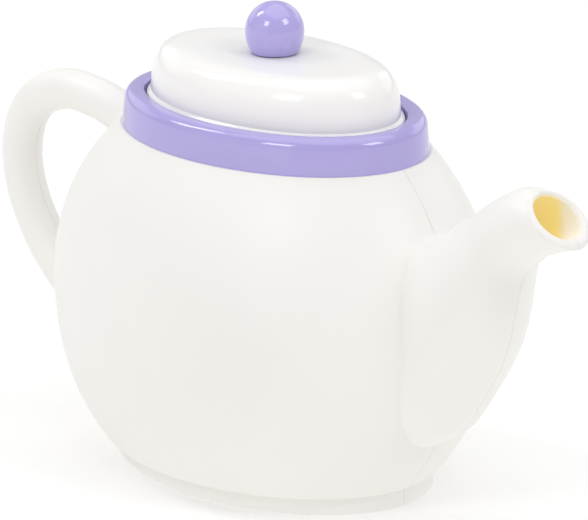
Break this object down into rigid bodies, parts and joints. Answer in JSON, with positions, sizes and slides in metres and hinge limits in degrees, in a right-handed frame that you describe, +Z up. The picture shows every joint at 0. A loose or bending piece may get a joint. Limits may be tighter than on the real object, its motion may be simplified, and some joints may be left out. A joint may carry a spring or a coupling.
{
  "type": "toy teapot",
  "caption": "Play teapot with an oval body moulded in two halves, a hollow curved spout, a loop handle, a lilac collar ring and a lift-off lid with a ball knob.",
  "frame": {"origin": "middle of the part's outline at the foot's underside, about 2 mm from the pot's own axis towards the spout", "axes": "+Z up, +X towards the spout, +Y across the pot, square to the parting plane of the two shells"},
  "size_m": [0.209, 0.0936, 0.1233],
  "materials": {
    "shell_white": "gloss moulded plastic, warm white",
    "collar_lilac": "gloss moulded plastic, lilac",
    "lid_white": "gloss moulded plastic, warm white",
    "knob_lilac": "gloss moulded plastic, lilac"
  },
  "bodies": {
    "pot": {"front_half_shell": "shell_white", "back_half_shell": "shell_white", "collar_ring": "collar_lilac"},
    "lid": {"lid": "lid_white", "lid_knob": "knob_lilac"}
  },
  "joints": [
    {"name": "lid_lift", "type": "slide", "parent": "pot", "child": "lid", "axis": [0, 0, 1], "range_m": [0, 0.06]}
  ]
}
